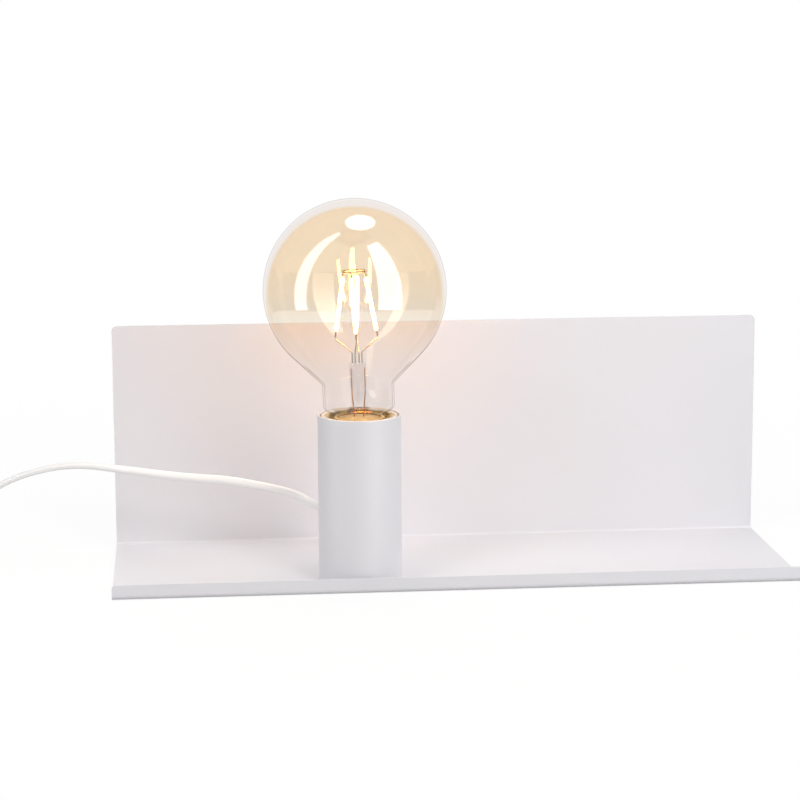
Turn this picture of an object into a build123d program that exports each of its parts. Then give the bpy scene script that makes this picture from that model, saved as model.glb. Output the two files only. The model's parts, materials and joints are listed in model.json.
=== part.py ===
"""Wall lamp: a folded sheet shelf, a holder tube, a globe bulb and a plug-in cord.

Millimetres. The origin lies on the wall, midway between the two screw holes of
the hidden wall rail. X points right, Y into the wall and Z up. The lamp can also
stand on the underside of its shelf, and the spare cord lies coiled at that level.
"""

import os
from math import cos, hypot, radians, sin, sqrt, tan

from build123d import *

os.makedirs("parts", exist_ok=True)

# Fits and clearances
fit = 0.05  # radial gap of a piece seated in a hole
running = 0.3  # gap between pieces that move past each other
contact_gap = 0.1  # gap where two round faces meet end to end

# Folded shelf bracket
sheet = 1.5
shelf_w = 360.0
shelf_d = 120.0  # plate front to lip front
plate_h = 122.5  # shelf top to plate top
lip_h = 6.4  # shelf top to lip top
bend_r = 1.0  # inside radius of the folds
plate_corner_r = 3.0
lip_corner_r = 2.0

# Wall fixing behind the plate
wall_gap = 6.5  # wall to plate back
hole_drop = 40.0  # plate top to screw holes
hole_spacing = 200.0
hole_r = 2.5
rail_w = 260.0
rail_below = 11.0  # screw holes to rail bottom
rail_flat = 6.0  # screw holes to the start of the joggle
rail_joggle = 4.0  # height of the joggle
rail_step = 3.2  # wall to the back of the raised edge
rail_rise = 22.0  # screw holes to rail top
cleat_w = 150.0
cleat_flange = 14.0
cleat_tongue = 9.5
cleat_play = 0.6  # raised edge to tongue
bumper_r = 6.0
bumper_inset = 25.0  # shelf end to bumper centre
bumper_rise = 16.0  # shelf top to bumper centre

# Holder tube
tube_x = -50.8
tube_out = 94.0  # plate front to tube axis
tube_r = 21.75
tube_wall = 1.0
tube_h = 87.8
foot_t = 6.0
foot_screw_count = 3
foot_screw_circle = 14.0
foot_screw_r = 1.5
foot_screw_head_r = 2.7
foot_screw_len = 6.0

# Lampholder on its threaded post
post_r = 5.0
post_bore = 3.0
nut_flats = 14.0
nut_t = 4.0
holder_drop = 0.2  # tube rim to skirt rim
holder_h = 50.8  # cap bottom to skirt rim
cap_h = 16.0
cap_r = 18.0
cap_wall = 2.0
cap_floor = 3.0
skirt_r = 19.8
skirt_lip = 1.6  # wall at the rim
skirt_well = 17.0  # depth of the wide part
insert_t = 5.0
shell_r = 14.6  # outside of the screw shell
shell_wall = 1.0
shell_h = 27.0
contact_r = 3.5
contact_t = 0.7
contact_post_r = 1.5
terminal_r = 2.2
terminal_h = 5.0
terminal_out = 10.5  # tube axis to terminals, towards the cord
terminal_apart = 9.0

# Screw thread of the bulb
pitch = 3.629
male_root_r = 12.0
male_ridge_r = 1.0
male_turns = 3.5
female_ridge_r = 0.8
female_turns = 3.0

# Bulb
globe_r = 47.3
globe_rise = 64.8  # tube rim to globe centre
glass_lean = 1.6  # degrees, the glass sits a little skew in its cap
glass_wall = 0.9
neck_r = 18.5
neck_blend = 3.0
neck_end = 61.5  # globe centre to the end of the straight neck
glass_foot_r = 11.2
glass_foot_h = 3.0
bulb_cap_wall = 0.6
bulb_cap_h = 22.0
bulb_cap_rim_r = 13.1
bulb_cap_rim_h = 1.6
insulator_h = 3.0
insulator_end_r = 5.0
bulb_contact_r = 4.6
bulb_contact_h = 1.0
stem_neck_r = 4.0
stem_h = 17.0
press_w, press_t, press_h = 9.0, 4.0, 12.0

# Light-emitting sticks
stick_count = 4
stick_r = 0.9
stick_end_r = 0.45
stick_end_len = 2.0  # bare pin at the upper end
stick_foot_len = 3.2  # bare pin at the lower end
stick_low = 21.5  # below the globe centre
stick_high = 7.2  # above the globe centre
stick_low_circle = 10.5
stick_high_circle = 6.0
stick_turn = -95.5  # direction of the first stick's lower end
stick_twist = -13.0
wire_r = 0.4
ring_wire_r = 0.5

# Cord
cord_r = 2.3
exit_turn = 28.0  # from +Y towards -X
exit_rise = 31.5  # shelf top to the cord's exit
gland_flange_r = 5.5
gland_flange_t = 1.3
gland_neck_r = 4.0
gland_collar_r = 5.0
gland_collar_t = 1.6
gland_end_r = 3.1
gland_len = 16.0  # tube to the end of the taper
stub_in = 16.5  # tube axis to the cord's inner end
lead_r = 1.0
lead_bend = 3.0

# Put-away coil and its tie
coil_x, coil_y = -296.0, -72.0
coil_r = 36.0  # first turn
coil_step = 5.1  # from turn to turn and layer to layer
coil_half_turns = 8  # in each layer
tie_t = 0.8
tie_w = 6.0
tie_play = 0.2

# Cord switch
switch_l, switch_w = 58.0, 24.0
switch_corner = 7.0
switch_half = 7.0  # height of the base and of the cover
switch_wall = 2.4
switch_edge = 2.5
switch_gap = 28.0  # coil end to switch
rocker_l, rocker_w = 19.0, 9.4
rocker_tilt = 8.0
rocker_above = 2.2
rocker_below = 3.2
rocker_dip = 1.4
pin_r = 1.0
switch_screw_r = 1.3
switch_screw_head_r = 2.4
switch_screw_head_t = 1.6
switch_screw_inset = 7.5

# Two-pin plug
plug_w, plug_t, plug_l = 35.3, 13.7, 36.0
plug_back_w, plug_back_t = 16.0, 11.5
plug_corner = 5.0
plug_x, plug_y = -355.0, -90.0  # middle of the pin face
plug_pin_r = 2.0
plug_pin_core_r = 1.5
plug_pin_len = 19.0
plug_pin_apart = 19.0
sleeve_len = 10.0
sleeve_r = 1.9
relief_len = 22.0
relief_end_r = 3.2
relief_r = 5.0

# Places that follow from the sizes above
plate_back = -wall_gap
plate_front = plate_back - sheet
lip_front = plate_front - shelf_d
plate_top = hole_drop
shelf_top = plate_top - plate_h
floor = shelf_top - sheet
tube_y = plate_front - tube_out
tube_bore = tube_r - tube_wall
rim = shelf_top + tube_h
globe_z = rim + globe_rise
skirt_rim = rim - holder_drop
cap_bottom = skirt_rim - holder_h
skirt_bottom = cap_bottom + cap_h
insert_top = skirt_bottom + insert_t
shell_bore = shell_r - shell_wall
shoulder_r = neck_r - glass_foot_r
glass_foot_top = globe_z - neck_end - shoulder_r * 0.6
bulb_cap_top = glass_foot_top - running
bulb_cap_bottom = bulb_cap_top - bulb_cap_h
contact_top = bulb_cap_bottom - insulator_h
contact_bottom = contact_top - bulb_contact_h
thread_bottom = bulb_cap_bottom + 2.5
axis_plane = Plane(origin=(tube_x, tube_y, 0), x_dir=(1, 0, 0), z_dir=(0, -1, 0))
exit_way = Vector(-sin(radians(exit_turn)), cos(radians(exit_turn)), 0)
exit_side = Vector(exit_way.Y, -exit_way.X, 0)
exit_start = Vector(tube_x, tube_y, shelf_top + exit_rise)


# Folded shelf bracket and wall fixing
with BuildPart() as shelf_bracket:
    with BuildSketch(Plane.YZ):
        with BuildLine():
            FilletPolyline(
                (plate_back, plate_top),
                (plate_back, floor),
                (lip_front, floor),
                (lip_front, shelf_top + lip_h),
                radius=bend_r + sheet,
            )
            offset(amount=sheet, side=Side.RIGHT)
        make_face()
    extrude(amount=shelf_w / 2, both=True)
    across = shelf_bracket.edges().filter_by(Axis.Y)
    fillet(across.group_by(Axis.Z)[-1], radius=plate_corner_r)
    lip_edges = shelf_bracket.edges().filter_by(Axis.Y).filter_by_position(
        Axis.Z, shelf_top + lip_h - 0.01, shelf_top + lip_h + 0.01
    )
    fillet(lip_edges, radius=lip_corner_r)
    with Locations(Plane(origin=(tube_x, tube_y, floor), x_dir=(1, 0, 0), z_dir=(0, 0, -1))):
        with PolarLocations(foot_screw_circle, foot_screw_count):
            CounterSinkHole(
                foot_screw_r + fit, foot_screw_head_r + fit, depth=sheet, counter_sink_angle=90
            )
shelf_bracket.part.label = "shelf_bracket"
export_step(shelf_bracket.part, "parts/shelf_bracket.step")

with BuildPart() as wall_rail:
    with BuildSketch(Plane.YZ):
        with BuildLine():
            FilletPolyline(
                (0, -rail_below),
                (0, rail_flat),
                (-rail_step, rail_flat + rail_joggle),
                (-rail_step, rail_rise),
                radius=bend_r + sheet,
            )
            offset(amount=sheet, side=Side.LEFT)
        make_face()
    extrude(amount=rail_w / 2, both=True)
    with Locations(Plane(origin=(0, 0, 0), x_dir=(1, 0, 0), z_dir=(0, 1, 0))):
        with GridLocations(hole_spacing, 0, 2, 1):
            Hole(hole_r)
wall_rail.part.label = "wall_rail"
export_step(wall_rail.part, "parts/wall_rail.step")

with BuildPart() as plate_cleat:
    tongue_y = -rail_step + cleat_play
    with BuildSketch(Plane.YZ):
        with BuildLine():
            FilletPolyline(
                (plate_back, rail_rise + cleat_flange),
                (plate_back, rail_rise),
                (tongue_y, rail_rise),
                (tongue_y, rail_rise - cleat_tongue),
                radius=[sheet + 0.5, 0.5],
            )
            offset(amount=sheet, side=Side.LEFT)
        make_face()
    extrude(amount=cleat_w / 2, both=True)
plate_cleat.part.label = "plate_cleat"
export_step(plate_cleat.part, "parts/plate_cleat.step")

for number, side in enumerate((-1, 1), start=1):
    with BuildPart() as wall_bumper:
        centre = (side * (shelf_w / 2 - bumper_inset), 0, shelf_top + bumper_rise)
        with BuildSketch(Plane(origin=centre, x_dir=(1, 0, 0), z_dir=(0, -1, 0))):
            Circle(bumper_r)
        extrude(amount=wall_gap)
        fillet(wall_bumper.edges().sort_by(Axis.Y)[-1], radius=1.0)
    wall_bumper.part.label = f"wall_bumper_{number}"
    export_step(wall_bumper.part, f"parts/wall_bumper_{number}.step")


# Holder tube and its foot
with BuildPart() as lamp_tube:
    with BuildSketch(Plane(origin=(tube_x, tube_y, shelf_top))):
        Circle(tube_r)
        Circle(tube_bore, mode=Mode.SUBTRACT)
    extrude(amount=tube_h)
    fillet(lamp_tube.edges().group_by(Axis.Z)[-1], radius=tube_wall * 0.3)
    with BuildSketch(Plane(origin=exit_start, x_dir=exit_side, z_dir=exit_way)):
        Circle(gland_neck_r + fit)
    extrude(amount=tube_r * 1.2, mode=Mode.SUBTRACT)
lamp_tube.part.label = "lamp_tube"
export_step(lamp_tube.part, "parts/lamp_tube.step")

with BuildPart() as tube_foot:
    with BuildSketch(Plane(origin=(tube_x, tube_y, shelf_top))):
        Circle(tube_bore - fit)
        Circle(post_r + fit, mode=Mode.SUBTRACT)
        with PolarLocations(foot_screw_circle, foot_screw_count):
            Circle(foot_screw_r + fit, mode=Mode.SUBTRACT)
    extrude(amount=foot_t)
    chamfer(tube_foot.edges().group_by(Axis.Z)[-1].sort_by(SortBy.LENGTH)[-1], length=0.6)
tube_foot.part.label = "tube_foot"
export_step(tube_foot.part, "parts/tube_foot.step")

# The holes in the shelf are laid out on its underside, so they run the other way round.
for number in range(1, foot_screw_count + 1):
    turn = radians(360.0 / foot_screw_count * (number - 1))
    screw_x = tube_x + foot_screw_circle * cos(turn)
    screw_y = tube_y + foot_screw_circle * sin(turn)
    with BuildPart() as foot_screw:
        with BuildSketch(
            Plane(origin=(screw_x, screw_y, floor), x_dir=(1, 0, 0), z_dir=(0, -1, 0))
        ):
            with BuildLine():
                Polyline(
                    (0, contact_gap),
                    (foot_screw_head_r - contact_gap, contact_gap),
                    (foot_screw_r, foot_screw_head_r - foot_screw_r),
                    (foot_screw_r, foot_screw_len),
                    (0, foot_screw_len),
                    close=True,
                )
            make_face()
        revolve(axis=Axis((screw_x, screw_y, 0), (0, 0, 1)))
    foot_screw.part.label = f"foot_screw_{number}"
    export_step(foot_screw.part, f"parts/foot_screw_{number}.step")


# Lampholder
with BuildPart() as holder_post:
    with BuildSketch(Plane(origin=(tube_x, tube_y, shelf_top))):
        Circle(post_r)
        Circle(post_bore, mode=Mode.SUBTRACT)
    extrude(amount=cap_bottom + cap_floor + nut_t - shelf_top)
holder_post.part.label = "holder_post"
export_step(holder_post.part, "parts/holder_post.step")

for name, bottom in (("post_nut", shelf_top + foot_t), ("holder_nut", cap_bottom - nut_t)):
    with BuildPart() as nut:
        with BuildSketch(Plane(origin=(tube_x, tube_y, bottom))):
            RegularPolygon(nut_flats / 2, 6, major_radius=False)
            Circle(post_r + fit, mode=Mode.SUBTRACT)
        extrude(amount=nut_t)
    nut.part.label = name
    export_step(nut.part, f"parts/{name}.step")

terminal_places = [
    exit_start + exit_way * terminal_out + exit_side * (side * terminal_apart / 2)
    for side in (-1, 1)
]

with BuildPart() as holder_cap:
    with BuildSketch(Plane(origin=(tube_x, tube_y, cap_bottom))):
        Circle(cap_r)
    extrude(amount=cap_h)
    with BuildSketch(Plane(origin=(tube_x, tube_y, cap_bottom + cap_floor))):
        Circle(cap_r - cap_wall)
    extrude(amount=cap_h, mode=Mode.SUBTRACT)
    with BuildSketch(Plane.XY.offset(cap_bottom)):
        with Locations((tube_x, tube_y)):
            Circle(post_r + fit)
        with Locations(*[(place.X, place.Y) for place in terminal_places]):
            Circle(lead_r + running)
    extrude(amount=cap_floor, mode=Mode.SUBTRACT)
    fillet(holder_cap.edges().group_by(Axis.Z)[0].sort_by(SortBy.LENGTH)[-1], radius=1.5)
holder_cap.part.label = "holder_cap"
export_step(holder_cap.part, "parts/holder_cap.step")

with BuildPart() as holder_insert:
    with BuildSketch(Plane(origin=(tube_x, tube_y, skirt_bottom))):
        Circle(shell_r)
        Circle(contact_post_r + fit, mode=Mode.SUBTRACT)
    extrude(amount=insert_t)
holder_insert.part.label = "holder_insert"
export_step(holder_insert.part, "parts/holder_insert.step")

with BuildPart() as holder_skirt:
    with BuildSketch(axis_plane):
        with BuildLine():
            Polyline(
                (shell_r + fit, skirt_bottom),
                (skirt_r, skirt_bottom),
                (skirt_r, skirt_rim),
                (skirt_r - skirt_lip, skirt_rim),
                (skirt_r - skirt_lip, skirt_rim - skirt_well + 2.0),
                (shell_r + fit, skirt_rim - skirt_well),
                close=True,
            )
        make_face()
        rim_corners = [v for v in vertices() if abs(v.Y - skirt_rim) < 0.01]
        fillet(rim_corners, radius=0.6)
    revolve(axis=Axis((tube_x, tube_y, 0), (0, 0, 1)))
holder_skirt.part.label = "holder_skirt"
export_step(holder_skirt.part, "parts/holder_skirt.step")

with BuildPart() as thread_shell:
    with BuildSketch(Plane(origin=(tube_x, tube_y, insert_top))):
        Circle(shell_r)
        Circle(shell_bore, mode=Mode.SUBTRACT)
    extrude(amount=shell_h)
    female_start = (tube_x, tube_y, thread_bottom + pitch / 2)
    with BuildLine(Plane(origin=female_start)) as female_line:
        Helix(pitch, female_turns * pitch, shell_bore)
    with BuildSketch(Plane(origin=female_line.line @ 0, z_dir=female_line.line % 0)):
        Circle(female_ridge_r)
    sweep(is_frenet=True)
thread_shell.part.label = "thread_shell"
export_step(thread_shell.part, "parts/thread_shell.step")

with BuildPart() as centre_contact:
    spring_top = contact_bottom - running
    with BuildSketch(axis_plane):
        with BuildLine():
            Polyline(
                (0, skirt_bottom),
                (contact_post_r, skirt_bottom),
                (contact_post_r, spring_top - contact_t),
                (contact_r, spring_top - contact_t),
                (contact_r, spring_top),
                (0, spring_top),
                close=True,
            )
        make_face()
    revolve(axis=Axis((tube_x, tube_y, 0), (0, 0, 1)))
centre_contact.part.label = "centre_contact"
export_step(centre_contact.part, "parts/centre_contact.step")

for number, place in enumerate(terminal_places, start=1):
    with BuildPart() as terminal:
        with BuildSketch(Plane(origin=(place.X, place.Y, skirt_bottom - terminal_h))):
            Circle(terminal_r)
        extrude(amount=terminal_h)
    terminal.part.label = f"terminal_{number}"
    export_step(terminal.part, f"parts/terminal_{number}.step")

for number, (place, side) in enumerate(zip(terminal_places, (-1, 1)), start=1):
    with BuildPart() as inner_lead:
        start = exit_start + exit_way * (stub_in - lead_r) + exit_side * (side * (lead_r + contact_gap))
        with BuildLine() as lead_line:
            FilletPolyline(
                start,
                place,
                Vector(place.X, place.Y, skirt_bottom - terminal_h),
                radius=lead_bend,
            )
        with BuildSketch(Plane(origin=start, z_dir=lead_line.line % 0)):
            Circle(lead_r)
        sweep()
    inner_lead.part.label = f"inner_lead_{number}"
    export_step(inner_lead.part, f"parts/inner_lead_{number}.step")


# Bulb
def glass_half(inset, low):
    """Half section of the bulb glass, set in by the wall, down to a height."""
    ball = globe_r - inset
    neck = neck_r - inset
    foot = glass_foot_r - inset
    slant = ball / sqrt(2)
    with BuildSketch(axis_plane) as half:
        with BuildLine():
            CenterArc((0, globe_z), ball, -45, 135)
            Polyline(
                (slant, globe_z - slant),
                (neck, globe_z - (sqrt(2) * ball - neck)),
                (neck, globe_z - neck_end),
                (foot, glass_foot_top),
                (foot, low),
                (0, low),
                (0, globe_z + ball),
            )
        make_face()
        shoulder, joint = sorted(
            [v for v in half.vertices() if abs(v.X - neck) < 0.01], key=lambda v: v.Y
        )
        fillet(shoulder, radius=3.0 - inset)
        fillet(joint, radius=neck_blend + inset)
    return half.sketch


bulb_axis = Axis((tube_x, tube_y, 0), (0, 0, 1))
lean_axis = Axis((tube_x, tube_y, glass_foot_top - glass_foot_h / 2), (0, -1, 0))
with BuildPart() as bulb_glass:
    glass_low = glass_foot_top - glass_foot_h
    revolve(glass_half(0, glass_low), axis=bulb_axis)
    revolve(glass_half(glass_wall, glass_low - 1.0), axis=bulb_axis, mode=Mode.SUBTRACT)
bulb_glass.part.label = "bulb_glass"
export_step(bulb_glass.part.rotate(lean_axis, glass_lean), "parts/bulb_glass.step")

with BuildPart() as bulb_cap:
    with BuildSketch(axis_plane):
        with BuildLine():
            Polyline(
                (male_root_r - bulb_cap_wall, bulb_cap_bottom),
                (male_root_r, bulb_cap_bottom),
                (male_root_r, bulb_cap_top - bulb_cap_rim_h),
                (bulb_cap_rim_r, bulb_cap_top - bulb_cap_rim_h),
                (bulb_cap_rim_r, bulb_cap_top),
                (male_root_r - bulb_cap_wall, bulb_cap_top),
                close=True,
            )
        make_face()
    revolve(axis=Axis((tube_x, tube_y, 0), (0, 0, 1)))
    with BuildLine(Plane(origin=(tube_x, tube_y, thread_bottom))) as male_line:
        Helix(pitch, male_turns * pitch, male_root_r + male_ridge_r * 0.1)
    with BuildSketch(Plane(origin=male_line.line @ 0, z_dir=male_line.line % 0)):
        Circle(male_ridge_r)
    sweep(is_frenet=True)
bulb_cap.part.label = "bulb_cap"
export_step(bulb_cap.part, "parts/bulb_cap.step")

with BuildPart() as cap_insulator:
    with BuildSketch(axis_plane):
        with BuildLine():
            Polyline(
                (0, contact_top + contact_gap),
                (insulator_end_r, contact_top + contact_gap),
                (male_root_r, bulb_cap_bottom),
                (male_root_r - bulb_cap_wall - fit, bulb_cap_bottom),
                (male_root_r - bulb_cap_wall - fit, bulb_cap_bottom + 1.5),
                (0, bulb_cap_bottom + 1.5),
                close=True,
            )
        make_face()
    revolve(axis=Axis((tube_x, tube_y, 0), (0, 0, 1)))
cap_insulator.part.label = "cap_insulator"
export_step(cap_insulator.part, "parts/cap_insulator.step")

with BuildPart() as bulb_contact:
    with BuildSketch(Plane(origin=(tube_x, tube_y, contact_bottom))):
        Circle(bulb_contact_r)
    extrude(amount=bulb_contact_h)
    fillet(bulb_contact.edges().group_by(Axis.Z)[0], radius=bulb_contact_h * 0.6)
bulb_contact.part.label = "bulb_contact"
export_step(bulb_contact.part, "parts/bulb_contact.step")

stem_bottom = glass_foot_top - glass_foot_h
stem_top = glass_foot_top + stem_h
with BuildPart() as bulb_stem:
    with BuildSketch(axis_plane):
        stem_flange = glass_foot_r - glass_wall - fit
        with BuildLine():
            Polyline((0, stem_bottom), (stem_flange, stem_bottom), (stem_flange, stem_bottom + 1.5))
            Spline(
                (stem_flange, stem_bottom + 1.5),
                (stem_neck_r, stem_bottom + stem_h * 0.65),
                tangents=((-0.4, 1), (0, 1)),
            )
            Polyline(
                (stem_neck_r, stem_bottom + stem_h * 0.65),
                (stem_neck_r, stem_top),
                (0, stem_top),
                (0, stem_bottom),
            )
        make_face()
    revolve(axis=Axis((tube_x, tube_y, 0), (0, 0, 1)))
    with BuildSketch(Plane(origin=(tube_x, tube_y, stem_top - 1.0))):
        RectangleRounded(press_w, press_t, press_t * 0.4)
    extrude(amount=press_h)
    fillet(bulb_stem.edges().group_by(Axis.Z)[-1], radius=1.0)
bulb_stem.part.label = "bulb_stem"
export_step(bulb_stem.part.rotate(lean_axis, glass_lean), "parts/bulb_stem.step")

press_top = stem_top - 1.0 + press_h
for number in range(1, stick_count + 1):
    low_turn = radians(stick_turn + 360.0 / stick_count * (number - 1))
    high_turn = low_turn + radians(stick_twist)
    low = Vector(
        tube_x + stick_low_circle * cos(low_turn),
        tube_y + stick_low_circle * sin(low_turn),
        globe_z - stick_low,
    )
    high = Vector(
        tube_x + stick_high_circle * cos(high_turn),
        tube_y + stick_high_circle * sin(high_turn),
        globe_z + stick_high,
    )
    way = (high - low).normalized()
    with BuildPart() as filament:
        with BuildSketch(Plane(origin=low, z_dir=way)):
            Circle(stick_r)
        extrude(amount=(high - low).length)
        with BuildSketch(Plane(origin=low - way * stick_foot_len, z_dir=way)):
            Circle(stick_end_r)
        extrude(amount=(high - low).length + stick_foot_len + stick_end_len)
    filament.part.label = f"filament_{number}"
    export_step(filament.part.rotate(lean_axis, glass_lean), f"parts/filament_{number}.step")

    with BuildPart() as stick_wire:
        end = low - way * (stick_foot_len + wire_r)
        foot_x = 1.0 if number % 2 else press_w / 2 - 2.0
        foot_x = foot_x if cos(low_turn) > 0 else -foot_x
        start = Vector(tube_x + foot_x, tube_y, press_top + contact_gap)
        knee = Vector(start.X, start.Y, press_top + (end.Z - press_top) * 0.45)
        with BuildLine() as wire_line:
            FilletPolyline(start, knee, end, radius=2.0)
        with BuildSketch(Plane(origin=start, z_dir=(0, 0, 1))):
            Circle(wire_r)
        sweep()
    stick_wire.part.label = f"stick_wire_{number}"
    export_step(stick_wire.part.rotate(lean_axis, glass_lean), f"parts/stick_wire_{number}.step")

with BuildPart() as filament_ring:
    rise = stick_high + stick_end_len + ring_wire_r + contact_gap
    with BuildSketch(axis_plane):
        with Locations((stick_high_circle, globe_z + rise)):
            Circle(ring_wire_r)
    revolve(axis=Axis((tube_x, tube_y, 0), (0, 0, 1)))
filament_ring.part.label = "filament_ring"
export_step(filament_ring.part.rotate(lean_axis, glass_lean), "parts/filament_ring.step")


# Cord, from the gland to the coil
def cord_radii(points):
    """Each arc of a cord takes 0.45 of the shorter of its two runs."""
    radii = []
    for before, here, after in zip(points, points[1:], points[2:]):
        one, two = here - before, after - here
        half = radians(one.get_angle(two)) / 2
        radii.append(0.45 * min(one.length, two.length) / tan(half))
    return radii


with BuildPart() as cord_gland:
    gland_plane = Plane(origin=exit_start, x_dir=(0, 0, 1), z_dir=exit_side)
    out = -1 if gland_plane.y_dir.dot(exit_way) < 0 else 1
    flange_in = sqrt(tube_bore**2 - gland_flange_r**2) - contact_gap
    with BuildSketch(gland_plane):
        with BuildLine():
            Polyline(
                (cord_r + fit, out * (flange_in - gland_flange_t)),
                (gland_flange_r, out * (flange_in - gland_flange_t)),
                (gland_flange_r, out * flange_in),
                (gland_neck_r, out * flange_in),
                (gland_neck_r, out * (tube_r + contact_gap)),
                (gland_collar_r, out * (tube_r + contact_gap)),
                (gland_collar_r, out * (tube_r + gland_collar_t)),
                (gland_end_r, out * (tube_r + gland_len)),
                (cord_r + fit, out * (tube_r + gland_len)),
                close=True,
            )
        make_face()
    revolve(axis=Axis(exit_start, exit_way))
cord_gland.part.label = "cord_gland"
export_step(cord_gland.part, "parts/cord_gland.step")

gland_end = exit_start + exit_way * (tube_r + gland_len)
with BuildPart() as cord_stub:
    stub_start = exit_start + exit_way * stub_in
    with BuildSketch(Plane(origin=stub_start, z_dir=exit_way)):
        Circle(cord_r)
    extrude(amount=(gland_end - stub_start).length)
cord_stub.part.label = "cord_stub"
export_step(cord_stub.part, "parts/cord_stub.step")

coil_z = floor + tie_t + tie_play + cord_r
coil_top = coil_z + coil_step
cord_d = 2 * cord_r
lead_points = [
    gland_end,
    gland_end + exit_way * 2.2 * cord_d,
    Vector(-82.5, -53.0, -46.6),
    Vector(-98.0, -49.5, -43.2),
    Vector(-119.0, -47.0, -39.2),
    Vector(-144.0, -44.5, -37.7),
    Vector(-172.0, -41.0, -34.0),
    Vector(-201.0, -38.0, -30.4),
    Vector(-224.0, -37.0, -34.3),
    Vector(-243.0, -36.5, -41.8),
    Vector(-256.0, -36.2, -53.5),
    Vector(-267.0, -36.1, -66.0),
    Vector(-280.0, coil_y + coil_r, coil_top),
    Vector(coil_x + cord_d, coil_y + coil_r, coil_top),
]
lead_radii = cord_radii(lead_points)
with BuildPart() as cord_lead:
    with BuildLine() as lead_path:
        FilletPolyline(*lead_points, radius=lead_radii)
    with BuildSketch(Plane(origin=lead_points[0], z_dir=lead_path.line % 0)):
        Circle(cord_r)
    sweep()
cord_lead.part.label = "cord_lead"
export_step(cord_lead.part, "parts/cord_lead.step")
print("lead radii", [round(r, 1) for r in lead_radii], "length", round(lead_path.wire().length, 1))


# Put-away coil: spirals in on the upper layer, drops a layer and spirals out again
half_step = coil_step / 2
coil_reach = [coil_r - half_step * k for k in range(coil_half_turns + 1)]
coil_reach += [coil_reach[-1] + half_step * (k + 2) for k in range(coil_half_turns)]
coil_levels = [coil_top] * coil_half_turns + [coil_z] * (coil_half_turns + 1)
coil_knots = [
    Vector(coil_x, coil_y + (reach if k % 2 == 0 else -reach), level)
    for k, (reach, level) in enumerate(zip(coil_reach, coil_levels))
]
coil_ways = [Vector(-1 if k % 2 == 0 else 1, 0, 0) for k in range(len(coil_knots))]

with BuildPart() as cord_coil:
    with BuildLine() as coil_path:
        Line(coil_knots[0] - coil_ways[0] * cord_d, coil_knots[0])
        for k in range(len(coil_knots) - 1):
            chord = coil_knots[k + 1] - coil_knots[k]
            middle = (coil_knots[k] + coil_knots[k + 1]) / 2 + coil_ways[k] * (chord.length / 2)
            first = TangentArc(coil_knots[k], middle, tangent=coil_ways[k])
            TangentArc(middle, coil_knots[k + 1], tangent=first % 1)
        Line(coil_knots[-1], coil_knots[-1] + coil_ways[-1] * cord_d)
    with BuildSketch(Plane(origin=coil_path.line @ 0, z_dir=coil_path.line % 0)):
        Circle(cord_r)
    sweep()
cord_coil.part.label = "cord_coil"
export_step(cord_coil.part, "parts/cord_coil.step")

coil_steps = 600
coil_wire = coil_path.wire()
coil_points = [coil_wire @ (k / coil_steps) for k in range(coil_steps + 1)]
apart = int(coil_steps * 4 * cord_d / coil_wire.length)
least = min(
    (coil_points[i] - coil_points[j]).length
    for i in range(coil_steps + 1)
    for j in range(i + apart, coil_steps + 1)
)
print("coil length", round(coil_wire.length, 1), "least gap to itself", round(least - cord_d, 2))

with BuildPart() as cord_tie:
    across = [p for p in coil_points if abs(p.Y - coil_y) < tie_w and p.X > coil_x]
    reach = [hypot(p.X - coil_x, p.Y - coil_y) for p in across]
    tie_in = min(reach) - cord_r - tie_play - 0.6
    tie_out = max(reach) + cord_r + tie_play + 0.6
    tie_mid = coil_x + (tie_in + tie_out) / 2
    tie_h = coil_top - coil_z + cord_d + 2 * tie_play
    tie_centre = (tie_mid, coil_y, (coil_z + coil_top) / 2)
    with BuildSketch(Plane(origin=tie_centre, x_dir=(1, 0, 0), z_dir=(0, -1, 0))):
        RectangleRounded(tie_out - tie_in + 2 * tie_t, tie_h + 2 * tie_t, 2.0)
        RectangleRounded(tie_out - tie_in, tie_h, 1.2, mode=Mode.SUBTRACT)
    extrude(amount=tie_w / 2, both=True)
cord_tie.part.label = "cord_tie"
export_step(cord_tie.part, "parts/cord_tie.step")


# Cord switch
switch_z = floor + switch_half
switch_y = coil_knots[-1].Y
switch_right = coil_x - cord_d - switch_gap
switch_x = switch_right - switch_l / 2
switch_top = switch_z + switch_half
rocker_axis = Axis((switch_x, switch_y, switch_top - rocker_below + 1.0), (0, 1, 0))
switch_screw_xs = [switch_x + side * (switch_l / 2 - switch_screw_inset) for side in (-1, 1)]

link_start = coil_wire @ 1
link_points = [
    link_start,
    link_start - Vector(switch_gap * 0.3, 0, 0),
    Vector(switch_right + switch_gap * 0.3, switch_y, switch_z),
    Vector(switch_right, switch_y, switch_z),
]
link_radii = cord_radii(link_points)
with BuildPart() as cord_link:
    with BuildLine() as link_path:
        FilletPolyline(*link_points, radius=link_radii)
    with BuildSketch(Plane(origin=link_start, z_dir=(-1, 0, 0))):
        Circle(cord_r)
    sweep()
cord_link.part.label = "cord_link"
export_step(cord_link.part, "parts/cord_link.step")

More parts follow.
